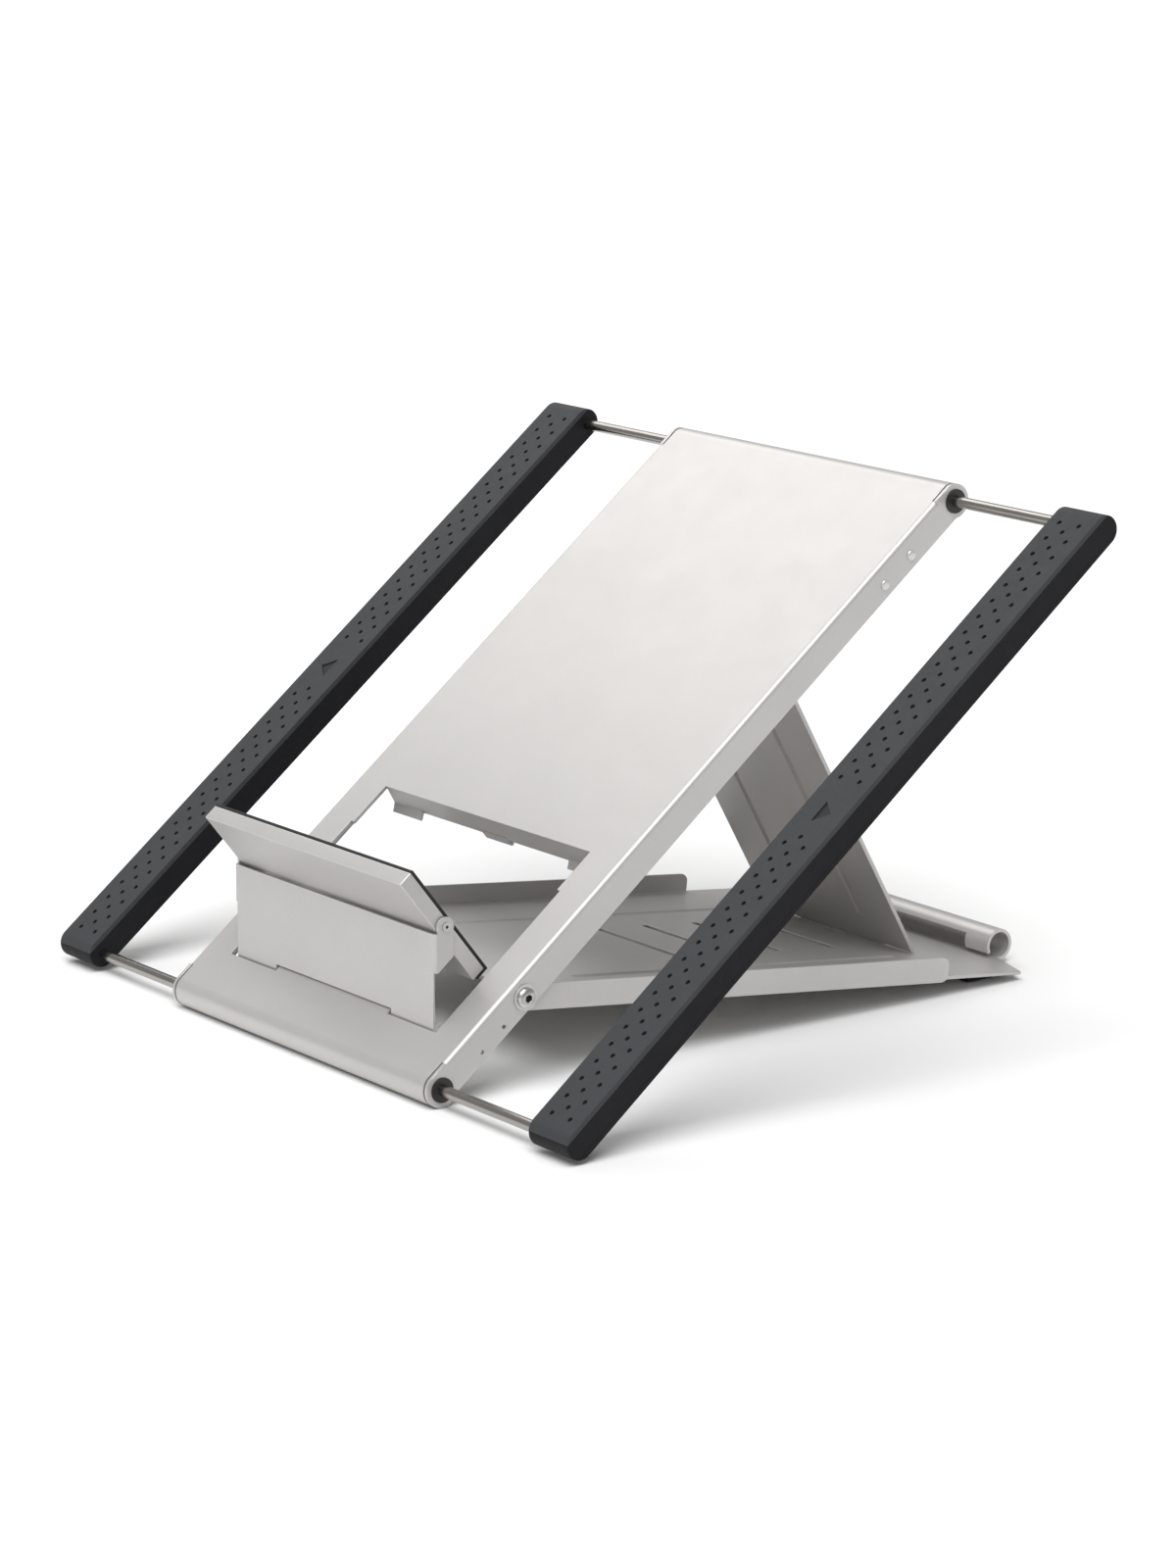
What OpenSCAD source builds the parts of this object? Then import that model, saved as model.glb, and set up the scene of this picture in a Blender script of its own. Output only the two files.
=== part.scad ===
// Folding laptop stand: a sloped metal tray on a hinged base and a prop leg, two
// sliding support arms on steel rods, and a tilting stop that holds the laptop's
// front edge. All sizes are in millimetres. The desk is the plane Z = 0, X runs
// across the stand, and Y runs from the user's edge to the back.

/* [Tray] */
// Slope of the tray above the desk, in degrees
tray_tilt = 38.2; // [36:0.1:42]
// Width of the tray over its side flanges
tray_w = 153; // [150:1:160]
// Distance between the axes of the front and rear rolls
tray_len = 275; // [270:1:285]
// Outer radius of the rolled front and rear edges
roll_r = 6; // [5.8:0.1:6.4]
// Thickness of the folded metal sheets
sheet_t = 1.2; // [1:0.1:1.3]
// Depth of the side flanges below the tray's top face
flange_h = 11.2; // [10.8:0.1:11.6]

/* [Window] */
// Width of the window at its rear edge
window_w = 118.8; // [118:0.2:122]
// Width of the window where the stop folds into it
window_low_w = 122.4; // [122:0.2:125]
// Distance from the front roll axis to the window's rear edge
window_end = 97.4; // [94:0.2:104]

/* [Arms] */
// Clear gap between the tray and each arm
arm_gap = 55; // [54:0.5:56]
// Width of each arm
arm_w = 20.4; // [18:0.2:24]
// Thickness of each arm
arm_t = 10.4; // [9.6:0.1:11]
// Radius of the steel rods
rod_r = 2; // [1.8:0.1:2.2]

/* [Base] */
// Distance from the hinge to the rear corners of the base
base_len = 221; // [215:1:225]
// Height of the base's side flanges
base_flange_h = 8.8; // [8:0.1:9.4]
// Distance from the hinge to the rear end of the side flanges
base_flange_len = 186.5; // [170:0.5:190]
// Outer radius of the roll at the base's rear edge
base_roll_r = 5.8; // [5:0.1:6]

/* [Leg] */
// Width of the leg
leg_w = 80.4; // [70:0.2:84]
// Distance from the front roll axis to the leg's hinge
leg_s = 205; // [200:1:210]
// Distance from the base hinge to the slot that the foot stands over
foot_b = 200; // [198:1:202]

/* [Stop] */
// Overall width of the stop
stop_w = 119.4; // [112:0.2:120]
// Height of the stop plate above its hinge
stop_h = 32.3; // [30:0.1:32.4]
// Height of the tilting panel
panel_h = 46.8; // [44:0.2:48]
// Thickness of the rubber pad on the panel
pad_t = 1.2; // [1:0.1:2]

/* [Hidden] */
$fn = 48;

silver = [0.86, 0.86, 0.84];
steel = [0.62, 0.60, 0.58];
charcoal = [0.16, 0.16, 0.18];
grip_grey = [0.34, 0.34, 0.35];
black = [0.05, 0.05, 0.05];

// Small differences in size
running = 0.05;
fixed = 0.02;
gap = 0.3;
through = 1;

// Tray section: Y is the distance up the slope, Z is the height over the roll axes
tray_half = tray_w / 2;
flange_in = tray_half - sheet_t;
flange_low = roll_r - flange_h;
bend_r = 1.7;
seam = 1;
roll_half = flange_in - seam;
lobe_s = roll_r + 0.5;
roll_wrap = 290;
bushing_face_r = 4.2;
bushing_sleeve_r = roll_r - sheet_t - running;
bushing_proud = 0.6;
bushing_in = 62.5;

// Hinge between the tray and the base
hinge_s = 42;
hinge_n = -0.7;
screw_r = 2;
screw_head_r = 3.4;
screw_head_t = 1.7;
socket_af = 2.4;
socket_deep = 1.1;
washer_r = 4.6;
washer_t = 0.5;
nut_r = 3.8;
nut_t = 2.6;

// Base section: Y is the distance from the hinge, Z is the height over its axis
base_half = flange_in - 0.6;
base_low = -5;
plate_low = -4;
plate_top = plate_low + sheet_t;
base_front = 14;
base_ear_r = 5;
base_corner_r = 3;
chamfer_half = 54;
chamfer_len = 8;
base_roll_half = 53;
base_roll_b = base_len + chamfer_len + 0.5;
base_roll_m = plate_low + base_roll_r;
roll_notch_half = 41;
notch_angle = 158;
lip_angle = 214;
slot_bs = [106, 128, 151, 176, foot_b];
slot_half = 24;
slot_w = 3;
bead_x = 42.5;
bead_start = 45;
bead_end = 190;
bead_w = 4;
bead_deep = 0.7;
foot_pad = [20, 12];
foot_pad_x = 56;
foot_pad_t = 2.6;
foot_pad_end = base_len - 5;

// Slope of the base: its rear pads reach the desk as the front roll does
hinge_y = hinge_s * cos(tray_tilt) - hinge_n * sin(tray_tilt);
hinge_z = roll_r + hinge_s * sin(tray_tilt) + hinge_n * cos(tray_tilt);
contact_drop = foot_pad_t - plate_low;
base_tilt = asin(hinge_z / norm([foot_pad_end, contact_drop])) - atan(contact_drop / foot_pad_end);
spread = tray_tilt + base_tilt;

// Leg: it hangs from the tray and its foot stands just clear of the base
leg_t = 1.4;
leg_pin_r = 1.25;
leg_knuckle_r = 2.3;
leg_n = roll_r - sheet_t - leg_knuckle_r - 0.2;
bracket_x = 27;
bracket_w = 14;
bracket_len = 13;
bracket_gap = 0.5;
rib_x = 19;
rib_w = 3.4;
rib_deep = 0.7;
rib_margin = 12;
hinge_to_leg = [leg_s - hinge_s, leg_n - hinge_n];
leg_reach = norm(hinge_to_leg);
leg_rise = spread + atan2(hinge_to_leg[1], hinge_to_leg[0]);
leg_top_b = leg_reach * cos(leg_rise);
leg_top_m = leg_reach * sin(leg_rise);
foot_m = plate_top + leg_t / 2 + gap;
leg_len = norm([leg_top_b - foot_b, leg_top_m - foot_m]);
leg_angle = atan2(leg_top_m - foot_m, leg_top_b - foot_b) - spread;

// Arms: one layer of rubber, one moulded body and one cover
arm_in = tray_half + arm_gap;
arm_mid_n = 0.9;
arm_top = arm_mid_n + arm_t / 2;
arm_low = arm_mid_n - arm_t / 2;
grip_t = 1.7;
cover_t = 1.7;
rod_in = 57;
rod_end = arm_in + 14;
collar_r = 4.3;
collar_t = 2.6;
pocket_w = 13;
pocket_end = 14;
pocket_top = 2;
arm_screw_r = 1.1;
arm_screw_head_r = 2.1;
arm_screw_head_t = 1;
arm_screw_len = 3;
arm_boss_r = 3;
arm_screw_step = tray_len / 4;

// Stop: a hinged plate with two ears, and a panel that tilts between the ears
stop_s = 17.6;
stop_knuckle_r = 1.7;
stop_n = roll_r - stop_knuckle_r;
stop_pin_r = 0.8;
stop_half = stop_w / 2;
stop_t = 1;
stop_bend_r = 1.5;
stop_flat_half = stop_half - stop_bend_r;
stop_angle = 90 - tray_tilt;
tongue_half = 33.3;
knuckle_start = 34.3;
ear_low_front = 19.3;
ear_low_rear = 24;
ear_deep = 7.5;
ear_r = 3.2;
pivot_u = 34.5;
pivot_v = 4.5;
pivot_r = 1;
pivot_head_r = 1.6;
pivot_head_t = 0.6;
panel_half = stop_flat_half;
panel_front = 3.2;
panel_rear = -2.2;
panel_wall = 1.2;
pad_lip = 1.2;

// Window flange and its three ledges
window_flange_low = -2.4;
window_flange_lean = 1;
ledge_len = 3.6;
ledge_w = 16.6;
ledge_angle = 215;
mid_ledge_len = 2.7;
mid_ledge_w = 15;
window_step = 80;

// Rivets and small holes in the side flanges
rivet_s = [235, 249.5];
rivet_n = -1;
rivet_r = 1.8;
rivet_head_t = 0.7;
pin_hole_s = [18.7, 30];
pin_hole_n = -2.2;
pin_hole_r = 0.8;

// The origin lies on the desk, midway between the front and rear ends of the stand
rear_y = hinge_y + base_roll_b * cos(base_tilt) + base_roll_m * sin(base_tilt) + base_roll_r;
front_y = -(rear_y - roll_r) / 2;

// ---------- Frames ----------

// X across, Y up the slope of the tray, Z square to it
module tray_frame() {
    translate([0, front_y, roll_r])
    rotate([tray_tilt, 0, 0])
    children();
}

// X across, Y from the hinge to the rear of the base, Z square to it
module base_frame() {
    tray_frame()
    translate([0, hinge_s, hinge_n])
    rotate([-spread, 0, 0])
    children();
}

// X across, Y from the foot up to the leg's hinge, Z square to the leg
module leg_frame() {
    tray_frame()
    translate([0, leg_s, leg_n])
    rotate([leg_angle, 0, 0])
    children();
}

// X across, Y up the stop plate, Z towards the user
module stop_frame() {
    tray_frame()
    translate([0, stop_s, stop_n])
    rotate([stop_angle, 0, 0])
    children();
}

// X across, Y up the tilting panel, Z towards the user
module panel_frame() {
    stop_frame()
    translate([0, pivot_u, stop_knuckle_r - pivot_v])
    rotate([90 - stop_angle, 0, 0])
    children();
}

module both_sides() {
    children();
    mirror([1, 0, 0])
    children();
}

// ---------- Shared shapes ----------

// A solid drawn in side view and made wide along X, from x0 to x1
module across(x0, x1) {
    translate([x0, 0, 0])
    rotate([90, 0, 90])
    linear_extrude(height = x1 - x0)
    children();
}

// A round bar along X
module bar(x0, x1, r) {
    translate([x0, 0, 0])
    rotate([0, 90, 0])
    cylinder(h = x1 - x0, r = r);
}

// A low round head of a screw or rivet, standing on Z = 0
module round_head(r, t) {
    rim = 0.35;
    rotate_extrude()
    polygon([
        [0, 0],
        [r, 0],
        [r, t * rim],
        [r * 0.86, t * 0.72],
        [r * 0.58, t * 0.93],
        [r * 0.3, t],
        [0, t]
    ]);
}

// Side view of part of a tube wall, from angle a0 to angle a1
module ring_2d(r, t, a0, a1) {
    steps = 12;
    reach = 2 * r;
    intersection() {
        difference() {
            circle(r = r);
            circle(r = r - t);
        }
        polygon(concat(
            [[0, 0]],
            [for (i = [0 : steps]) reach * [cos(a0 + (a1 - a0) * i / steps), sin(a0 + (a1 - a0) * i / steps)]]
        ));
    }
}

// A long rounded groove along Y, whose mouth is w wide and deep deep at Z = 0
module groove(y0, y1, w, deep, extra) {
    r = (deep * deep + w * w / 4) / (2 * deep);
    translate([0, y0, r - deep])
    rotate([-90, 0, 0])
    cylinder(h = y1 - y0, r = r + extra);
}

// A stamped bead: the sheet bulges below its lower face and is grooved above
module bead_bulge(y0, y1, w, deep, t) {
    wall = t * 0.8;
    intersection() {
        groove(y0, y1, w, deep, wall);
        translate([-w, y0, -t - deep])
        cube([2 * w, y1 - y0, t + deep - t / 2]);
    }
}

// ---------- Base ----------

module base_outline_2d() {
    polygon([
        [-base_half, base_front],
        [base_half, base_front],
        [base_half, base_len],
        [chamfer_half, base_len + chamfer_len],
        [-chamfer_half, base_len + chamfer_len],
        [-base_half, base_len]
    ]);
}

// Side view of one upturned flange, with its ear round the hinge
module base_flange_2d() {
    flange_top = base_low + base_flange_h;
    circle(r = base_ear_r);
    translate([0, base_low])
    square([base_flange_len - base_corner_r, base_flange_h]);
    translate([0, base_low + base_corner_r])
    square([base_flange_len, base_flange_h - 2 * base_corner_r]);
    for (m = [base_low + base_corner_r, flange_top - base_corner_r])
        translate([base_flange_len - base_corner_r, m])
        circle(r = base_corner_r);
}

module base_flange() {
    difference() {
        across(base_half - sheet_t, base_half)
        base_flange_2d();
        bar(base_half - sheet_t - through, base_half + through, screw_r + fixed);
    }
}

module base_roll() {
    translate([0, base_roll_b, base_roll_m]) {
        across(-base_roll_half, base_roll_half)
        ring_2d(base_roll_r, sheet_t, -90, notch_angle);
        both_sides()
        across(roll_notch_half, base_roll_half)
        ring_2d(base_roll_r, sheet_t, notch_angle, lip_angle);
    }
    translate([-base_roll_half, base_len, plate_low])
    cube([2 * base_roll_half, base_roll_b - base_len, sheet_t]);
}

module base_plate() {
    color(silver)
    base_frame()
    difference() {
        union() {
            translate([0, 0, plate_low])
            linear_extrude(height = sheet_t)
            base_outline_2d();
            both_sides()
            base_flange();
            base_roll();
            both_sides()
            translate([bead_x, 0, plate_top])
            bead_bulge(bead_start, bead_end, bead_w, bead_deep, sheet_t);
        }
        for (b = slot_bs)
            translate([-slot_half, b - slot_w / 2, plate_low - through])
            cube([2 * slot_half, slot_w, sheet_t + 2 * through]);
        both_sides()
        translate([bead_x, 0, plate_top])
        groove(bead_start, bead_end, bead_w, bead_deep, 0);
    }
}

// Rear pads, cut level so that they stand flat on the desk
module base_feet() {
    color(black)
    intersection() {
        base_frame()
        both_sides()
        translate([foot_pad_x - foot_pad[0] / 2, foot_pad_end - foot_pad[1], plate_low - 2 * foot_pad_t])
        cube([foot_pad[0], foot_pad[1], 2 * foot_pad_t]);
        translate([-tray_w, front_y, 0])
        cube([2 * tray_w, 2 * tray_len, 2 * roll_r]);
    }
}

// ---------- Hinge hardware ----------

module hinge_screw() {
    head_x = tray_half + washer_t;
    difference() {
        union() {
            bar(base_half - sheet_t - nut_t - 1, head_x + screw_head_t / 2, screw_r);
            translate([head_x, 0, 0])
            rotate([0, 90, 0])
            round_head(screw_head_r, screw_head_t);
        }
        translate([head_x + screw_head_t - socket_deep, 0, 0])
        rotate([0, 90, 0])
        cylinder(h = socket_deep + through, d = socket_af / cos(30), $fn = 6);
    }
}

module hinge_screws() {
    color(steel)
    base_frame()
    both_sides()
    hinge_screw();
}

module hinge_washers() {
    color(steel)
    base_frame()
    both_sides()
    difference() {
        bar(tray_half + fixed, tray_half + washer_t - fixed, washer_r);
        bar(tray_half - through, tray_half + through, screw_r + fixed);
    }
}

module hinge_spacers() {
    color(black)
    base_frame()
    both_sides()
    difference() {
        bar(base_half + running, flange_in - running, washer_r);
        bar(base_half - through, flange_in + through, screw_r + fixed);
    }
}

module hinge_nuts() {
    color(steel)
    base_frame()
    both_sides()
    translate([base_half - sheet_t - nut_t, 0, 0])
    rotate([0, 90, 0])
    difference() {
        cylinder(h = nut_t, r = nut_r, $fn = 6);
        translate([0, 0, -through])
        cylinder(h = nut_t + 2 * through, r = screw_r + fixed);
    }
}

// ---------- Tray ----------

// Cross-section of the top sheet with its two rounded bends and flanges
module channel_2d(half, top, low, r) {
    translate([-half, low])
    square([2 * half, top - r - low]);
    translate([-half + r, low])
    square([2 * (half - r), top - low]);
    for (side = [-1, 1])
        translate([side * (half - r), top - r])
        circle(r = r);
}

module tray_channel() {
    translate([0, tray_len - lobe_s, 0])
    rotate([90, 0, 0])
    linear_extrude(height = tray_len - 2 * lobe_s)
    difference() {
        channel_2d(tray_half, roll_r, flange_low, bend_r);
        channel_2d(flange_in, roll_r - sheet_t, flange_low - through, bend_r - sheet_t);
    }
}

// Side view of a flange's end lobe, which closes the end of a roll
module tray_lobes_2d() {
    for (end = [0, 1])
        translate([end * tray_len, 0]) {
            circle(r = roll_r);
            translate([end == 0 ? 0 : -lobe_s, flange_low])
            square([lobe_s, flange_h]);
        }
}

module tray_rolls() {
    across(-roll_half, roll_half)
    ring_2d(roll_r, sheet_t, 90, 90 + roll_wrap);
    translate([0, tray_len, 0])
    across(-roll_half, roll_half)
    ring_2d(roll_r, sheet_t, 90 - roll_wrap, 90);
    translate([-roll_half, 0, roll_r - sheet_t])
    cube([2 * roll_half, tray_len, sheet_t]);
}

module window_cut() {
    top = sheet_t + 2 * through;
    low = roll_r - sheet_t - through;
    edge_front = stop_s - stop_knuckle_r - gap;
    translate([-window_low_w / 2, edge_front, low])
    cube([window_low_w, window_step - edge_front, top]);
    translate([-window_w / 2, edge_front, low])
    cube([window_w, window_end - edge_front, top]);
}

// Down-turned strip behind the window, leaning forwards, with three ledges at its foot
module window_flange() {
    half = window_w / 2;
    edge = window_end - window_flange_lean;
    top = roll_r - sheet_t / 2;
    across(-half, half)
    polygon([
        [window_end, top],
        [edge, window_flange_low],
        [edge + sheet_t, window_flange_low],
        [window_end + sheet_t, top]
    ]);
    both_sides()
    translate([half - ledge_w, edge + sheet_t / 2, window_flange_low + sheet_t / 2])
    rotate([ledge_angle, 0, 0])
    translate([0, 0, -sheet_t / 2])
    cube([ledge_w, ledge_len, sheet_t]);
    translate([-mid_ledge_w / 2, edge, window_flange_low - mid_ledge_len])
    cube([mid_ledge_w, sheet_t, mid_ledge_len + sheet_t]);
}

// Tongue of the tray that wraps round the stop's hinge pin
module stop_tongue() {
    edge_front = stop_s - stop_knuckle_r - gap;
    translate([-tongue_half, edge_front - through, roll_r - sheet_t])
    cube([2 * tongue_half, stop_s - edge_front + through, sheet_t]);
    translate([0, stop_s, stop_n])
    bar(-tongue_half, tongue_half, stop_knuckle_r);
}

module flange_holes() {
    for (end = [0, tray_len])
        translate([0, end, 0])
        bar(flange_in - through, tray_half + through, bushing_face_r + fixed);
    translate([0, hinge_s, hinge_n])
    bar(flange_in - through, tray_half + through, screw_r + running);
    for (s = pin_hole_s)
        translate([0, s, pin_hole_n])
        bar(flange_in - through, tray_half + through, pin_hole_r);
    for (s = rivet_s)
        translate([0, s, rivet_n])
        bar(flange_in - through, tray_half + through, rivet_r / 2 + fixed);
}

module tray_plate() {
    color(silver)
    tray_frame()
    difference() {
        union() {
            difference() {
                union() {
                    tray_channel();
                    tray_rolls();
                }
                window_cut();
            }
            both_sides()
            across(flange_in, tray_half)
            tray_lobes_2d();
            window_flange();
            stop_tongue();
        }
        both_sides()
        flange_holes();
        translate([0, stop_s, stop_n])
        bar(-tongue_half - through, tongue_half + through, stop_pin_r + fixed);
    }
}

module rod_bushings() {
    color(black)
    tray_frame()
    both_sides()
    for (end = [0, tray_len])
        translate([0, end, 0])
        difference() {
            union() {
                bar(bushing_in, flange_in - fixed, bushing_sleeve_r);
                bar(bushing_in, tray_half + bushing_proud, bushing_face_r);
            }
            bar(bushing_in - through, tray_half + bushing_proud + through, rod_r + running);
        }
}

module flange_rivets() {
    color(silver)
    tray_frame()
    both_sides()
    for (s = rivet_s)
        translate([0, s, rivet_n]) {
            bar(flange_in - rivet_head_t, tray_half + rivet_head_t / 2, rivet_r / 2);
            bar(flange_in - rivet_head_t - fixed, flange_in - fixed, rivet_r);
            translate([tray_half + fixed, 0, 0])
            rotate([0, 90, 0])
            round_head(rivet_r, rivet_head_t);
        }
}

// ---------- Leg hinge ----------

// Side view of a bracket: a flat plate under the sheet and a curl round the pin
module bracket_2d() {
    under = roll_r - sheet_t - fixed;
    difference() {
        union() {
            circle(r = leg_knuckle_r);
            translate([0, under - leg_n - sheet_t])
            square([bracket_len, sheet_t]);
            square([leg_knuckle_r, under - leg_n - sheet_t / 2]);
        }
        circle(r = leg_pin_r + fixed);
    }
}

module bracket_rivet_places() {
    rivet_reach = bracket_len * 0.65;
    both_sides()
    for (dx = [-bracket_w / 4, bracket_w / 4])
        translate([bracket_x + dx, leg_s + rivet_reach, 0])
        children();
}

module leg_brackets() {
    color(steel)
    tray_frame()
    difference() {
        both_sides()
        translate([0, leg_s, leg_n])
        across(bracket_x - bracket_w / 2, bracket_x + bracket_w / 2)
        bracket_2d();
        bracket_rivet_places()
        cylinder(h = roll_r, r = rivet_r / 2 + fixed);
    }
}

// Spot rivets with flat heads below the brackets
module bracket_rivets() {
    under = roll_r - sheet_t - 2 * fixed;
    color(steel)
    tray_frame()
    bracket_rivet_places() {
        translate([0, 0, under - sheet_t - rivet_head_t])
        cylinder(h = sheet_t + rivet_head_t, r = rivet_r / 2);
        translate([0, 0, under - sheet_t - rivet_head_t])
        cylinder(h = rivet_head_t - fixed, r = rivet_r);
    }
}

module leg_hinge_pin() {
    color(steel)
    tray_frame()
    translate([0, leg_s, leg_n])
    bar(-leg_w / 2, leg_w / 2, leg_pin_r);
}

module leg_plate() {
    half = leg_w / 2;
    cut_w = bracket_w + 2 * bracket_gap;
    cut_reach = leg_knuckle_r + bracket_gap;
    color(silver)
    leg_frame()
    difference() {
        union() {
            translate([-half, -leg_len, -leg_t / 2])
            cube([leg_w, leg_len, leg_t]);
            bar(-half, half, leg_knuckle_r);
            translate([0, -leg_len, 0])
            bar(-half, half, leg_t / 2);
            both_sides()
            translate([rib_x, 0, leg_t / 2])
            bead_bulge(-leg_len + rib_margin, -rib_margin, rib_w, rib_deep, leg_t);
        }
        bar(-half - through, half + through, leg_pin_r + running);
        both_sides()
        translate([bracket_x - cut_w / 2, -cut_reach, -cut_reach])
        cube([cut_w, 2 * cut_reach, 2 * cut_reach]);
        both_sides()
        translate([rib_x, 0, leg_t / 2])
        groove(-leg_len + rib_margin, -rib_margin, rib_w, rib_deep, 0);
    }
}

// ---------- Arms ----------

// Side view of an arm: a bar with half-round ends, cut to the layer low..high
module arm_layer_2d(low, high) {
    intersection() {
        union() {
            for (end = [0, tray_len])
                translate([end, arm_mid_n])
                circle(r = arm_t / 2, $fn = 64);
            translate([0, arm_low])
            square([tray_len, arm_t]);
        }
        translate([-arm_t, low])
        square([tray_len + 2 * arm_t, high - low]);
    }
}

// Children stand along the arm wherever a cover screw goes
module arm_screw_places() {
    for (i = [1 : 3])
        translate([arm_in + arm_w / 2, i * arm_screw_step, 0])
        children();
}

module arm_body() {
    split = arm_low + cover_t;
    difference() {
        across(arm_in, arm_in + arm_w)
        arm_layer_2d(split, arm_top - grip_t);
        for (end = [0, tray_len])
            translate([0, end, 0])
            bar(arm_in - through, rod_end + fixed, rod_r + fixed);
        difference() {
            translate([arm_in + (arm_w - pocket_w) / 2, pocket_end, split - through])
            cube([pocket_w, tray_len - 2 * pocket_end, pocket_top - split + through]);
            arm_screw_places()
            translate([0, 0, split - 2 * through])
            cylinder(h = arm_t, r = arm_boss_r);
        }
        arm_screw_places()
        translate([0, 0, split - through])
        cylinder(h = arm_screw_len + through, r = arm_screw_r + fixed);
    }
}

module arm_cover() {
    difference() {
        across(arm_in, arm_in + arm_w)
        arm_layer_2d(arm_low, arm_low + cover_t - fixed);
        arm_screw_places()
        translate([0, 0, arm_low - through]) {
            cylinder(h = cover_t + 2 * through, r = arm_screw_r + fixed);
            cylinder(h = arm_screw_head_t + through, r = arm_screw_head_r + fixed);
        }
    }
}

module arm_grip() {
    across(arm_in, arm_in + arm_w)
    arm_layer_2d(arm_top - grip_t + fixed, arm_top);
}

module arm_screw() {
    socket_w = 1.4;
    translate([0, 0, arm_low + fixed])
    difference() {
        union() {
            cylinder(h = arm_screw_head_t - 2 * fixed, r = arm_screw_head_r);
            cylinder(h = cover_t + arm_screw_len - 2 * fixed, r = arm_screw_r);
        }
        translate([0, 0, -through])
        cylinder(h = arm_screw_head_t / 2 + through, d = socket_w, $fn = 6);
    }
}

module arm_rod(end) {
    translate([0, end * tray_len, 0])
    bar(rod_in, rod_end, rod_r);
}

module rod_collars() {
    for (end = [0, tray_len])
        translate([0, end, 0])
        difference() {
            bar(rod_in + fixed, rod_in + collar_t, collar_r);
            bar(rod_in - through, rod_in + collar_t + through, rod_r + fixed);
        }
}

module right_arm_body() {
    color(charcoal)
    tray_frame()
    arm_body();
}

module right_arm_cover() {
    color(charcoal)
    tray_frame()
    arm_cover();
}

module right_arm_grip() {
    color(grip_grey)
    tray_frame()
    arm_grip();
}

module right_arm_screws() {
    color(steel)
    tray_frame()
    arm_screw_places()
    arm_screw();
}

module right_front_rod() {
    color(steel)
    tray_frame()
    arm_rod(0);
}

module right_rear_rod() {
    color(steel)
    tray_frame()
    arm_rod(1);
}

module right_rod_collars() {
    color(steel)
    tray_frame()
    rod_collars();
}

module left_arm_body() {
    mirror([1, 0, 0])
    right_arm_body();
}

module left_arm_cover() {
    mirror([1, 0, 0])
    right_arm_cover();
}

module left_arm_grip() {
    mirror([1, 0, 0])
    right_arm_grip();
}

module left_arm_screws() {
    mirror([1, 0, 0])
    right_arm_screws();
}

module left_front_rod() {
    mirror([1, 0, 0])
    right_front_rod();
}

module left_rear_rod() {
    mirror([1, 0, 0])
    right_rear_rod();
}

module left_rod_collars() {
    mirror([1, 0, 0])
    right_rod_collars();
}

// ---------- Stop ----------

module stop_hinge_pin() {
    color(steel)
    tray_frame()
    translate([0, stop_s, stop_n])
    bar(-stop_flat_half, stop_flat_half, stop_pin_r);
}

// Side view of an ear behind its bend, in the stop plate's own frame
module ear_2d() {
    front = stop_knuckle_r;
    bend_end = front - stop_bend_r;
    difference() {
        union() {
            polygon([
                [ear_low_front, bend_end],
                [ear_low_rear, front - ear_deep],
                [pivot_u, front - ear_deep],
                [pivot_u, front - pivot_v + ear_r],
                [stop_h, bend_end]
            ]);
            translate([pivot_u, front - pivot_v])
            circle(r = ear_r);
        }
        translate([pivot_u, front - pivot_v])
        circle(r = pivot_r + running);
    }
}

// Quarter-round bend that joins the plate to an ear
module ear_bend() {
    translate([stop_flat_half, stop_h, stop_knuckle_r - stop_bend_r])
    rotate([90, 0, 0])
    linear_extrude(height = stop_h - ear_low_front)
    intersection() {
        difference() {
            circle(r = stop_bend_r);
            circle(r = stop_bend_r - stop_t);
        }
        square(stop_bend_r);
    }
}

module stop_plate() {
    knuckle_w = stop_flat_half - knuckle_start;
    clear = stop_knuckle_r + gap;
    color(silver)
    stop_frame()
    difference() {
        union() {
            translate([-stop_flat_half, clear, stop_knuckle_r - stop_t])
            cube([2 * stop_flat_half, stop_h - clear, stop_t]);
            both_sides() {
                translate([knuckle_start, 0, stop_knuckle_r - stop_t])
                cube([knuckle_w, stop_h, stop_t]);
                bar(knuckle_start, stop_flat_half, stop_knuckle_r);
                ear_bend();
                across(stop_half - stop_t, stop_half)
                ear_2d();
            }
        }
        bar(-stop_flat_half - through, stop_flat_half + through, stop_pin_r + running);
    }
}

// Shallow metal tray, open towards the laptop
module stop_panel() {
    inner_half = panel_half - panel_wall;
    inner_depth = panel_front - panel_rear - panel_wall;
    color(silver)
    panel_frame()
    difference() {
        translate([-panel_half, -panel_h / 2, panel_rear])
        cube([2 * panel_half, panel_h, panel_front - panel_rear]);
        translate([-inner_half, -panel_h / 2 + panel_wall, panel_rear - through])
        cube([2 * inner_half, panel_h - 2 * panel_wall, inner_depth + through]);
        bar(-panel_half - through, panel_half + through, pivot_r + fixed);
    }
}

// Rubber face of the panel: it fills the open tray behind it and laps its lower edge
module stop_pad() {
    fill = 1.2;
    inset = panel_wall + fixed;
    color(black)
    panel_frame() {
        translate([-panel_half, -panel_h / 2 - pad_lip, panel_rear - pad_t]) {
            cube([2 * panel_half, panel_h + pad_lip, pad_t - fixed]);
            cube([2 * panel_half, pad_lip - fixed, panel_front - panel_rear + pad_t - panel_wall]);
        }
        translate([-panel_half + inset, -panel_h / 2 + inset, panel_rear - pad_t / 2])
        cube([2 * (panel_half - inset), panel_h - 2 * inset, pad_t / 2 - pivot_r + fill]);
    }
}

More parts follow.
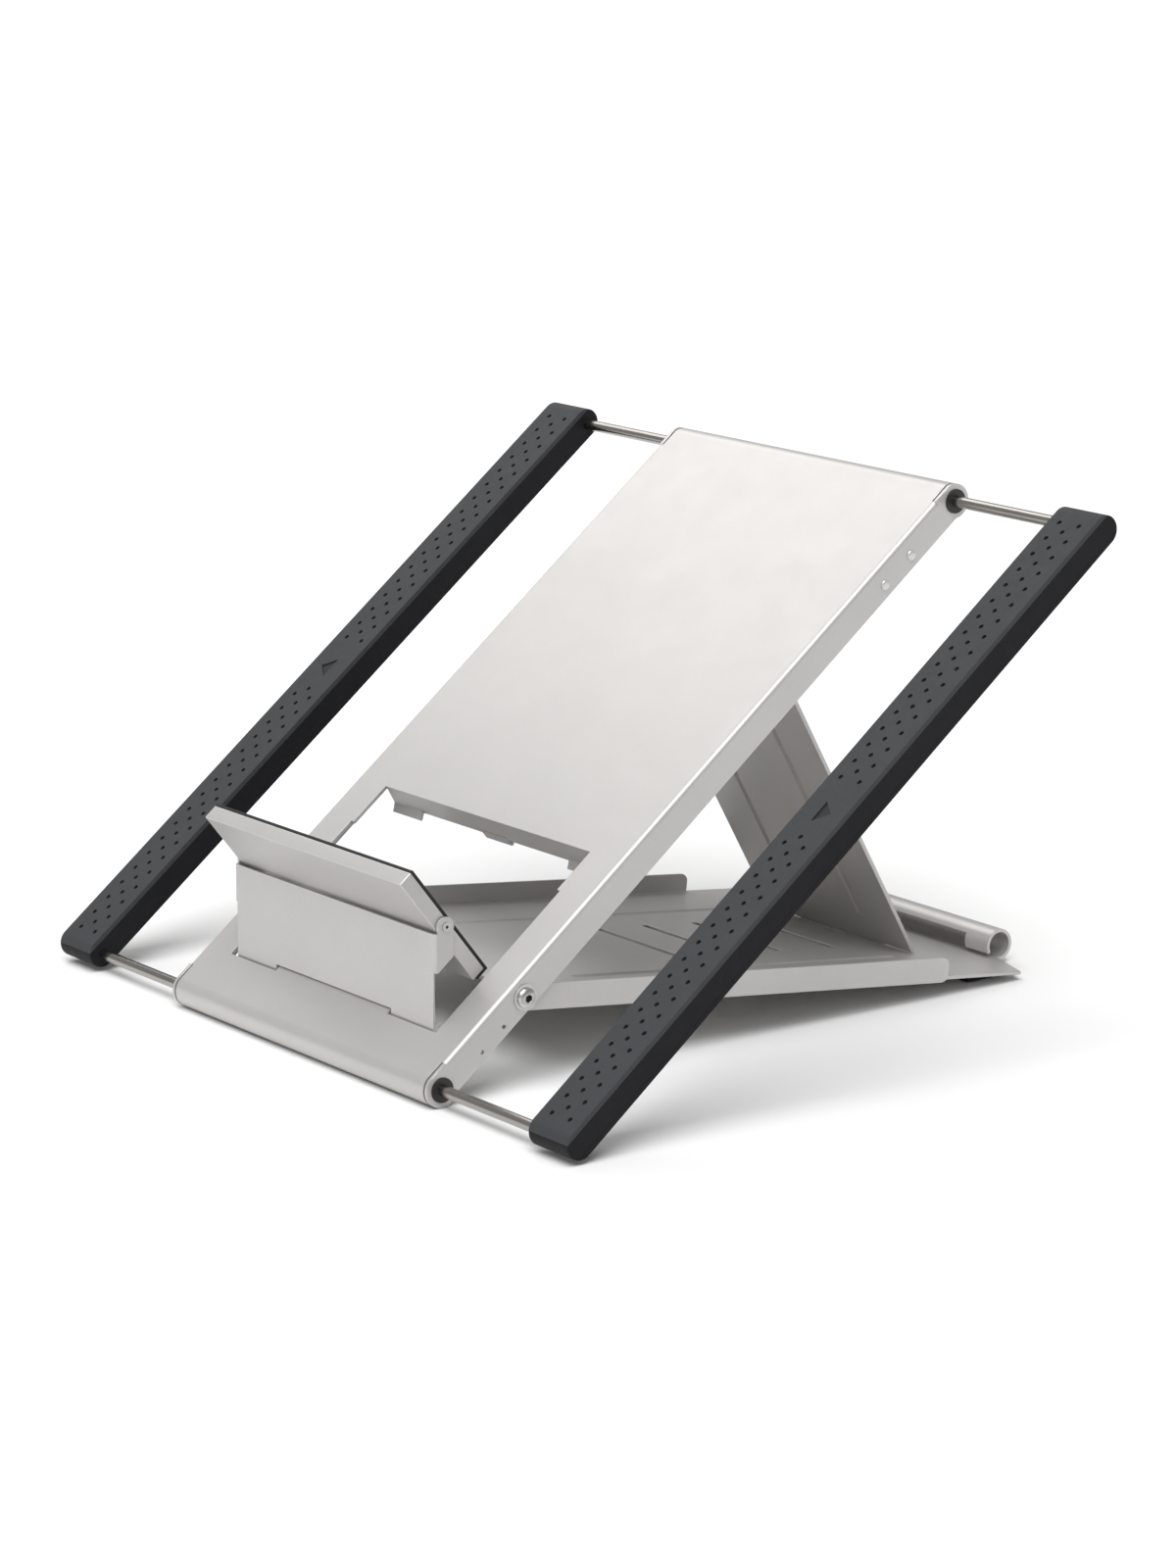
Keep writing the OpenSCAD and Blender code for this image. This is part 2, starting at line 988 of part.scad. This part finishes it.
module stop_pivot_screws() {
    reach = 3;
    socket_w = pivot_r * 1.2;
    color(steel)
    panel_frame()
    both_sides()
    difference() {
        union() {
            bar(panel_half - reach, stop_half + pivot_head_t / 2, pivot_r);
            bar(stop_half + running, stop_half + pivot_head_t, pivot_head_r);
        }
        translate([stop_half + pivot_head_t / 2, 0, 0])
        rotate([0, 90, 0])
        cylinder(h = pivot_head_t, d = socket_w, $fn = 6);
    }
}

// ---------- Nodes ----------

base_plate();
base_feet();
hinge_screws();
hinge_washers();
hinge_spacers();
hinge_nuts();
tray_plate();
rod_bushings();
flange_rivets();
leg_brackets();
bracket_rivets();
leg_hinge_pin();
stop_hinge_pin();
leg_plate();
left_arm_body();
left_arm_cover();
left_arm_grip();
left_arm_screws();
left_front_rod();
left_rear_rod();
left_rod_collars();
right_arm_body();
right_arm_cover();
right_arm_grip();
right_arm_screws();
right_front_rod();
right_rear_rod();
right_rod_collars();
stop_plate();
stop_panel();
stop_pad();
stop_pivot_screws();
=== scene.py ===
"""Folding laptop stand: the looks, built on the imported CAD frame. Everything is in metres."""

import math

import bmesh
import bpy
from mathutils import Matrix, Vector
from mathutils.geometry import delaunay_2d_cdt


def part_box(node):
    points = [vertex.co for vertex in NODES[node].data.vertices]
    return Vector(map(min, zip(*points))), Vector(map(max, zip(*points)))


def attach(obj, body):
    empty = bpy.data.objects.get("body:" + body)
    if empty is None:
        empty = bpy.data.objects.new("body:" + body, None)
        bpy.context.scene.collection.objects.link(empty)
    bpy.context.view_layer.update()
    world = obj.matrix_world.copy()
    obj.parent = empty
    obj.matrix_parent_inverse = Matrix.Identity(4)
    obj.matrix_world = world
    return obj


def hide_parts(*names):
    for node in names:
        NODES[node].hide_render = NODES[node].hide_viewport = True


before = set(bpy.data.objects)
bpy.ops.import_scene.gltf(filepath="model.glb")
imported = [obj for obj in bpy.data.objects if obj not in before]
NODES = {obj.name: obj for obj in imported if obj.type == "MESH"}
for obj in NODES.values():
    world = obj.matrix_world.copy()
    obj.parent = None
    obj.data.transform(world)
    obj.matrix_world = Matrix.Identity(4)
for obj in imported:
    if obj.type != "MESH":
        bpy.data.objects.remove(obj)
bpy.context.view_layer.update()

MM = 0.001


# ---------------------------------------------------------------- tray frame

def centre(node):
    low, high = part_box(node)
    return (low + high) / 2


# The arms' rods give the slope: S runs up the tray, N stands square to it.
ROD_FRONT = centre("right_front_rod")
ROD_REAR = centre("right_rear_rod")
ORIGIN = Vector((0, ROD_FRONT.y, ROD_FRONT.z))
S = Vector((0, ROD_REAR.y - ROD_FRONT.y, ROD_REAR.z - ROD_FRONT.z)).normalized()
N = Vector((0, -S.z, S.y))
SLOPE = Matrix(((1, 0, 0, 0), (0, S.y, N.y, ORIGIN.y), (0, S.z, N.z, ORIGIN.z), (0, 0, 0, 1)))
INTO_SLOPE = SLOPE.inverted()


def span(node):
    """Lowest and highest corner of a CAD node in the tray's own frame."""
    points = [INTO_SLOPE @ v.co for v in NODES[node].data.vertices]
    low = Vector([min(p[i] for p in points) for i in range(3)])
    high = Vector([max(p[i] for p in points) for i in range(3)])
    return low, high


# ---------------------------------------------------------------- materials

def material(name, colour, rough, metallic=0.0, variation=0.06, patch=40.0, grain=2500.0,
             bump=0.12, rough_spread=0.06, stretch=(1, 1, 1), speck=0.0, specular=0.5,
             coat=0.0, sheen=0.0):
    """A procedural surface: broad colour drift, fine grain in colour and height, uneven gloss."""
    m = bpy.data.materials.new(name)
    m.use_nodes = True
    t = m.node_tree
    t.nodes.clear()
    out = t.nodes.new("ShaderNodeOutputMaterial")
    shader = t.nodes.new("ShaderNodeBsdfPrincipled")
    t.links.new(shader.outputs["BSDF"], out.inputs["Surface"])
    shader.inputs["Metallic"].default_value = metallic
    shader.inputs["Specular IOR Level"].default_value = specular
    shader.inputs["Coat Weight"].default_value = coat
    shader.inputs["Coat Roughness"].default_value = 0.25
    shader.inputs["Sheen Weight"].default_value = sheen

    place = t.nodes.new("ShaderNodeTexCoord")
    mapping = t.nodes.new("ShaderNodeMapping")
    mapping.inputs["Scale"].default_value = stretch
    t.links.new(place.outputs["Object"], mapping.inputs["Vector"])

    def noise(scale, detail, roughness=0.5):
        n = t.nodes.new("ShaderNodeTexNoise")
        n.inputs["Scale"].default_value = scale
        n.inputs["Detail"].default_value = detail
        n.inputs["Roughness"].default_value = roughness
        t.links.new(mapping.outputs["Vector"], n.inputs["Vector"])
        return n.outputs["Fac"]

    def spread(source, low, high, bottom=0.3, top=0.7):
        r = t.nodes.new("ShaderNodeMapRange")
        r.inputs["From Min"].default_value = bottom
        r.inputs["From Max"].default_value = top
        r.inputs["To Min"].default_value = low
        r.inputs["To Max"].default_value = high
        t.links.new(source, r.inputs["Value"])
        return r.outputs["Result"]

    def times(a, b):
        n = t.nodes.new("ShaderNodeMath")
        n.operation = "MULTIPLY"
        t.links.new(a, n.inputs[0])
        t.links.new(b, n.inputs[1])
        return n.outputs[0]

    broad = noise(patch, 4.0, 0.6)
    fine = noise(grain, 3.0, 0.65)
    drift = spread(broad, 1 - variation, 1 + variation)
    tint = times(drift, spread(fine, 1 - variation * 0.8 - speck, 1 + variation * 0.8 + speck))
    base = t.nodes.new("ShaderNodeVectorMath")
    base.operation = "SCALE"
    base.inputs[0].default_value = colour
    t.links.new(tint, base.inputs["Scale"])
    t.links.new(base.outputs["Vector"], shader.inputs["Base Color"])

    smear = noise(patch * 3, 5.0, 0.7)
    t.links.new(spread(smear, rough - rough_spread, rough + rough_spread), shader.inputs["Roughness"])

    relief = t.nodes.new("ShaderNodeBump")
    relief.inputs["Strength"].default_value = bump
    relief.inputs["Distance"].default_value = 0.00008
    t.links.new(fine, relief.inputs["Height"])
    t.links.new(relief.outputs["Normal"], shader.inputs["Normal"])
    return m


SILVER = material("silver_paint", (0.545, 0.532, 0.522), 0.40, metallic=0.45, variation=0.018,
                  patch=28, grain=5200, bump=0.16, rough_spread=0.03, speck=0.05, coat=0.10)
# Painted highlight: a lighter, glossier copy of the silver paint, laid on the sheets' rounded edges
# and on the flange rivets so they read as catching the light.
SILVER_HIGHLIGHT = material("silver_paint_highlight", (0.66, 0.65, 0.64), 0.32, metallic=0.6, variation=0.03,
                       patch=90, grain=5200, bump=0.1, rough_spread=0.05, speck=0.04)
STEEL = material("zinc_steel", (0.58, 0.57, 0.55), 0.30, metallic=1.0, variation=0.05,
                 patch=160, grain=4200, bump=0.14, rough_spread=0.08)
ROD = material("bright_rod", (0.36, 0.345, 0.325), 0.22, metallic=1.0, variation=0.04, patch=60,
               grain=3600, bump=0.10, rough_spread=0.06, stretch=(0.03, 1, 1))
CHARCOAL = material("charcoal_plastic", (0.009, 0.009, 0.011), 0.58, variation=0.10, patch=60,
                    grain=3600, bump=0.30, rough_spread=0.06, specular=0.18)
GRIP = material("grey_rubber", (0.040, 0.042, 0.046), 0.68, variation=0.05, patch=50,
                grain=2900, bump=0.34, rough_spread=0.06, specular=0.28, sheen=0.04)
# Black rubber of the stop pad and feet; also laid in the grip's holes and mark as painted shade.
RUBBER_AND_PIT_SHADE = material("black_rubber", (0.016, 0.016, 0.017), 0.66, variation=0.12, patch=70,
                  grain=3000, bump=0.32, rough_spread=0.08, specular=0.36, sheen=0.05)
BLACK = material("black_plastic", (0.014, 0.014, 0.016), 0.42, variation=0.10, patch=80,
                 grain=3800, bump=0.18, rough_spread=0.07)
# Painted shade: a near-black metal laid inside the screws' hexagon sockets, where the recess lies in
# shadow.
SOCKET_SHADE = material("painted_socket_shade", (0.035, 0.033, 0.03), 0.5, metallic=0.7, variation=0.12,
                  patch=200, grain=4000, bump=0.2)


# ---------------------------------------------------------------- mesh helpers

def finish_piece(name, bm, body, nodes, mats, smooth=32.0, bevel=None):
    me = bpy.data.meshes.new(name)
    bmesh.ops.recalc_face_normals(bm, faces=bm.faces)
    bm.to_mesh(me)
    bm.free()
    for m in mats:
        me.materials.append(m)
    me.shade_smooth()
    me.set_sharp_from_angle(angle=math.radians(smooth))
    ob = bpy.data.objects.new(name, me)
    bpy.context.scene.collection.objects.link(ob)
    if bevel:
        mod = ob.modifiers.new("edges", "BEVEL")
        mod.width = bevel
        mod.segments = 2
        mod.limit_method = "ANGLE"
        mod.angle_limit = math.radians(35)
        mod.harden_normals = True
        mod.material = len(mats) - 1
    else:
        mod = ob.modifiers.new("flat faces", "WEIGHTED_NORMAL")
        mod.mode = "FACE_AREA"
        mod.weight = 100
        mod.keep_sharp = True
    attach(ob, body)
    if nodes:
        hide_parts(*nodes)
    return ob


def welded(node):
    """The node's own mesh as one joined skin with flat faces whole again."""
    bm = bmesh.new()
    bm.from_mesh(NODES[node].data)
    for layer in list(bm.loops.layers.float_vector.values()):
        bm.loops.layers.float_vector.remove(layer)
    bmesh.ops.remove_doubles(bm, verts=bm.verts, dist=2e-6)
    bmesh.ops.dissolve_limit(bm, angle_limit=math.radians(0.4), verts=bm.verts, edges=bm.edges)
    for f in bm.faces:
        f.material_index = 0
    return bm


def softened(node, body, mats, width, least=2.0 * MM, angle=35.0, segments=2):
    """The node with its long folded and cut edges rounded over, as the paint leaves them."""
    bm = welded(node)
    sharp = [e for e in bm.edges if len(e.link_faces) == 2 and e.calc_length() > least
             and e.calc_face_angle(0) > math.radians(angle)]
    # The rounded faces take the last material given; for the sheets that is the painted highlight
    # silver.
    bmesh.ops.bevel(bm, geom=sharp, offset=width, offset_type="OFFSET", segments=segments,
                    profile=0.5, affect="EDGES", clamp_overlap=False, material=len(mats) - 1,
                    miter_outer="SHARP")
    return finish_piece(node + "_skin", bm, body, [node], mats)


# ---------------------------------------------------------------- sheet metal

for name, body, width in (
    ("tray_plate", "tray", 0.16 * MM),
    ("base_plate", "base", 0.16 * MM),
    ("leg_plate", "leg", 0.18 * MM),
    ("stop_plate", "stop", 0.16 * MM),
    ("stop_panel", "panel", 0.32 * MM),
):
    softened(name, body, [SILVER, SILVER_HIGHLIGHT], width)


def socketed(node, body, reach):
    """A pair of screws whose hexagon sockets are painted dark inside as shade."""
    bm = welded(node)
    low, high = span(node)
    axis = (low + high) / 2
    for f in bm.faces:
        away = [INTO_SLOPE @ v.co - axis for v in f.verts]
        if all(math.hypot(p.y, p.z) < reach for p in away):
            f.material_index = 1
    return finish_piece(node + "_skin", bm, body, [node], [STEEL, SOCKET_SHADE], smooth=40)


socketed("hinge_screws", "base", 1.45 * MM)
socketed("stop_pivot_screws", "panel", 0.75 * MM)
softened("stop_pad", "panel", [RUBBER_AND_PIT_SHADE, RUBBER_AND_PIT_SHADE], 0.35 * MM)
softened("base_feet", "base", [RUBBER_AND_PIT_SHADE, RUBBER_AND_PIT_SHADE], 0.4 * MM)

PLAIN = {
    "hinge_washers": STEEL, "hinge_nuts": STEEL, "hinge_spacers": BLACK,
    "rod_bushings": BLACK, "flange_rivets": SILVER_HIGHLIGHT, "leg_brackets": STEEL,
    "bracket_rivets": STEEL, "leg_hinge_pin": STEEL, "stop_hinge_pin": STEEL,
    "left_front_rod": ROD, "left_rear_rod": ROD, "right_front_rod": ROD, "right_rear_rod": ROD,
    "left_rod_collars": STEEL, "right_rod_collars": STEEL,
    "left_arm_screws": STEEL, "right_arm_screws": STEEL,
}
for name, surface in PLAIN.items():
    slots = NODES[name].data.materials
    for i in range(len(slots)):
        slots[i] = surface


# ---------------------------------------------------------------- arms

ROUND = 2.3 * MM                       # radius of an arm's long rims
ROUND_SEGMENTS = 6
END_STEPS = 20                         # flats round each half-round end
SEAM = 0.02 * MM                       # between the layers of an arm
SEAM_EDGE = 0.12 * MM                  # rounding beside the seams
LEVEL = 0.01 * MM

# Holes of a grip: rows measured from the arm's inner side, then pitch, radius and the
# stretch at mid length that the mark takes up
HOLE_ROWS = (5.2 * MM, 9.8 * MM, 14.6 * MM)
ROW_START = 4.2 * MM
ROW_SPAN = 266.5 * MM
PITCH = 7.4 * MM
HOLE_R = 0.98 * MM
HOLE_SIDES = 14
MARK_STRETCH = (126.5 * MM, 148.5 * MM)

# Mark: a triangle with its point towards the outer side
MARK_BASE = 8.2 * MM
MARK_POINT = 14.2 * MM
MARK_HALF = 4.5 * MM

# Share of the outline that is left, and depth, at each step down into a recess
HOLE_STEPS = ((0.86, 0.12 * MM), (0.78, 0.9 * MM), (0.5, 1.15 * MM))
MARK_STEPS = ((0.94, 0.10 * MM), (0.90, 0.55 * MM))


def arm_shell(low, high):
    """A bar with half-round ends and rounded rims, in the tray's frame."""
    r = (high.z - low.z) / 2
    mid = (high.z + low.z) / 2
    outline = []
    for end, start in ((high.y - r, -90), (low.y + r, 90)):
        for i in range(END_STEPS + 1):
            a = math.radians(start + 180 * i / END_STEPS)
            outline.append((end + r * math.cos(a), mid + r * math.sin(a)))
    bm = bmesh.new()
    near = [bm.verts.new((low.x, s, n)) for s, n in outline]
    far = [bm.verts.new((high.x, s, n)) for s, n in outline]
    bm.faces.new(near)
    bm.faces.new(list(reversed(far)))
    count = len(outline)
    for i in range(count):
        j = (i + 1) % count
        bm.faces.new((near[i], far[i], far[j], near[j]))
    rims = [e for e in bm.edges if abs(e.verts[0].co.x - e.verts[1].co.x) < 1e-9]
    bmesh.ops.bevel(bm, geom=rims, offset=ROUND, segments=ROUND_SEGMENTS, profile=0.5, affect="EDGES",
                    clamp_overlap=False)
    return bm


def sliced(low, high, bottom, top):
    """The layer of the arm between two heights, closed with flat faces."""
    bm = arm_shell(low, high)
    for height, up in ((bottom, -1), (top, 1)):
        if height is None:
            continue
        cut = bmesh.ops.bisect_plane(bm, geom=bm.verts[:] + bm.edges[:] + bm.faces[:],
                                     plane_co=(0, 0, height), plane_no=(0, 0, up), clear_outer=True)
        rim = [e for e in cut["geom_cut"] if isinstance(e, bmesh.types.BMEdge)]
        bmesh.ops.edgeloop_fill(bm, edges=rim)
    return bm


def hole_places(low, high, inner):
    """Three staggered rows of holes, left out round the pull mark at mid length."""
    side = 1 if inner < 0.5 * (low.x + high.x) else -1
    places = []
    s0 = low.y + (high.z - low.z) / 2 + ROW_START
    for row, offset in enumerate(HOLE_ROWS):
        s = s0 + (PITCH / 2 if row == 1 else 0)
        while s < s0 + ROW_SPAN:
            if not MARK_STRETCH[0] < s < MARK_STRETCH[1]:
                places.append((inner + side * offset, s))
            s += PITCH
    return places


def grip(name, low, high, bottom, inner, body, node):
    """The rubber top: holes punched in its flat face, and a triangular recess that points outwards."""
    bm = sliced(low, high, bottom, None)
    level = [f for f in bm.faces if abs(f.calc_center_median().z - high.z) < LEVEL]
    top = max(level, key=lambda f: f.calc_area())
    height = top.verts[0].co.z
    border = list(top.verts)
    bm.faces.remove(top)
    points = [Vector((v.co.x, v.co.y)) for v in border]
    edges = [(i, (i + 1) % len(points)) for i in range(len(points))]
    made = {i: v for i, v in enumerate(border)}
    rings = []

    def ring(outline):
        start = len(points)
        points.extend(Vector(p) for p in outline)
        edges.extend((start + i, start + (i + 1) % len(outline)) for i in range(len(outline)))
        rings.append((start, len(outline)))
        return start

    holes = []
    for x, s in hole_places(low, high, inner):
        outline = [(x + HOLE_R * math.cos(2 * math.pi * i / HOLE_SIDES),
                    s + HOLE_R * math.sin(2 * math.pi * i / HOLE_SIDES))
                   for i in range(HOLE_SIDES)]
        holes.append((ring(outline), (x, s), outline))
    side = 1 if inner < 0.5 * (low.x + high.x) else -1
    mid = low.y + (high.y - low.y) / 2
    corner = [(inner + side * MARK_BASE, mid - MARK_HALF), (inner + side * MARK_POINT, mid),
              (inner + side * MARK_BASE, mid + MARK_HALF)]
    mark = ring(corner)

    verts, _, faces, origins, _, _ = delaunay_2d_cdt(points, edges, [], 1, 1e-9)
    new = []
    for i, p in enumerate(verts):
        source = origins[i][0] if origins[i] else -1
        new.append(made[source] if source in made else bm.verts.new((p.x, p.y, height)))
    index = {origins[i][0]: i for i in range(len(verts)) if origins[i]}
    inside = []
    for start, count in rings:
        inside.append(set(index[start + i] for i in range(count)))
    for f in faces:
        if any(all(i in ring_set for i in f) for ring_set in inside):
            continue
        bm.faces.new([new[i] for i in f])

    # Painted shade: each recess's walls and floor take the black rubber, darker than the grey grip,
    # where the hollow lies in shadow.
    def pit(start, outline, middle, depths):
        rims = [[new[index[start + i]] for i in range(len(outline))]]
        for shrink, depth in depths:
            rims.append([bm.verts.new((middle[0] + (x - middle[0]) * shrink,
                                       middle[1] + (y - middle[1]) * shrink, height - depth))
                         for x, y in outline])
        for a, b in zip(rims, rims[1:]):
            for i in range(len(a)):
                j = (i + 1) % len(a)
                bm.faces.new((a[i], a[j], b[j], b[i])).material_index = 1
        bm.faces.new(rims[-1]).material_index = 1

    for start, middle, outline in holes:
        pit(start, outline, middle, HOLE_STEPS)
    centre_of_mark = (sum(p[0] for p in corner) / 3, mid)
    pit(mark, corner, centre_of_mark, MARK_STEPS)

    bmesh.ops.transform(bm, matrix=SLOPE, verts=bm.verts)
    return finish_piece(name, bm, body, [node], [GRIP, RUBBER_AND_PIT_SHADE], smooth=40)


def arm(side):
    body = "arm_" + side
    whole = [span(f"{side}_arm_{part}") for part in ("body", "cover", "grip")]
    low = Vector([min(w[0][i] for w in whole) for i in range(3)])
    high = Vector([max(w[1][i] for w in whole) for i in range(3)])
    inner = low.x if side == "right" else high.x
    split_low = whole[1][1].z
    split_high = whole[2][0].z
    grip(f"{side}_grip_skin", low, high, split_high, inner, body, f"{side}_arm_grip")

    bm = sliced(low, high, split_low + SEAM, split_high - SEAM)
    bmesh.ops.transform(bm, matrix=SLOPE, verts=bm.verts)
    finish_piece(f"{side}_body_skin", bm, body, [f"{side}_arm_body"],
                 [CHARCOAL], bevel=SEAM_EDGE)
    bm = sliced(low, high, None, split_low)
    bmesh.ops.transform(bm, matrix=SLOPE, verts=bm.verts)
    finish_piece(f"{side}_cover_skin", bm, body, [f"{side}_arm_cover"],
                 [CHARCOAL], bevel=SEAM_EDGE)


arm("left")
arm("right")


# ---------------------------------------------------------------- floor, light and camera

def plane(name, size, z):
    bm = bmesh.new()
    bmesh.ops.create_grid(bm, x_segments=1, y_segments=1, size=size / 2)
    me = bpy.data.meshes.new(name)
    bm.to_mesh(me)
    bm.free()
    ob = bpy.data.objects.new(name, me)
    ob.location = (0, 0, z)
    bpy.context.scene.collection.objects.link(ob)
    return ob


FLOOR = plane("floor", 14, -0.0002)
FLOOR.data.materials.append(material("floor_card", (0.90, 0.90, 0.90), 0.9, variation=0.004,
                                     patch=3, grain=400, bump=0.02, specular=0.1))


def softbox(name, place, target, size, power, colour=(1, 1, 1)):
    data = bpy.data.lights.new(name, "AREA")
    data.shape = "RECTANGLE"
    data.size, data.size_y = size
    data.energy = power
    data.color = colour
    ob = bpy.data.objects.new(name, data)
    ob.location = place
    ob.rotation_euler = (Vector(target) - Vector(place)).to_track_quat("-Z", "Y").to_euler()
    bpy.context.scene.collection.objects.link(ob)
    return ob


# A very wide sun lights stand and floor evenly; it shines down, back and to the left.
wide = bpy.data.lights.new("wide", "SUN")
wide.energy = 2.6
wide.angle = math.radians(50)
wide_light = bpy.data.objects.new("wide", wide)
wide_light.rotation_euler = Vector((-0.30, 0.34, -0.9)).to_track_quat("-Z", "Y").to_euler()
bpy.context.scene.collection.objects.link(wide_light)
# The softbox brightens the tray towards its rear edge.
softbox("left", (-0.85, 0.16, 0.98), (0, 0.03, 0.14), (0.7, 0.6), 3.0, (1.0, 0.99, 0.97))

world = bpy.data.worlds.new("studio")
world.use_nodes = True
world.node_tree.nodes["Background"].inputs["Color"].default_value = (1, 1, 1, 1)
world.node_tree.nodes["Background"].inputs["Strength"].default_value = 0.42
bpy.context.scene.world = world
bpy.context.scene.view_settings.view_transform = "Standard"

# Camera: seen from the front right and a little above
AZIMUTH = math.radians(52.95)
ELEVATION = math.radians(13.29)
FROM_ORIGIN = Vector((1.30074, -0.86507, 0.45556))
SENSOR = 36
FOCAL = 4935.6 / 1600                  # in heights of the picture
back = Vector((math.sin(AZIMUTH) * math.cos(ELEVATION), -math.cos(AZIMUTH) * math.cos(ELEVATION),
               math.sin(ELEVATION)))
camera = bpy.data.cameras.new("camera")
camera.sensor_fit = "VERTICAL"
camera.sensor_height = SENSOR
camera.lens = SENSOR * FOCAL
camera.clip_start = 0.05
camera.clip_end = 50
eye = bpy.data.objects.new("camera", camera)
eye.location = ORIGIN + FROM_ORIGIN
eye.rotation_euler = (-back).to_track_quat("-Z", "Y").to_euler()
bpy.context.scene.collection.objects.link(eye)
bpy.context.scene.camera = eye
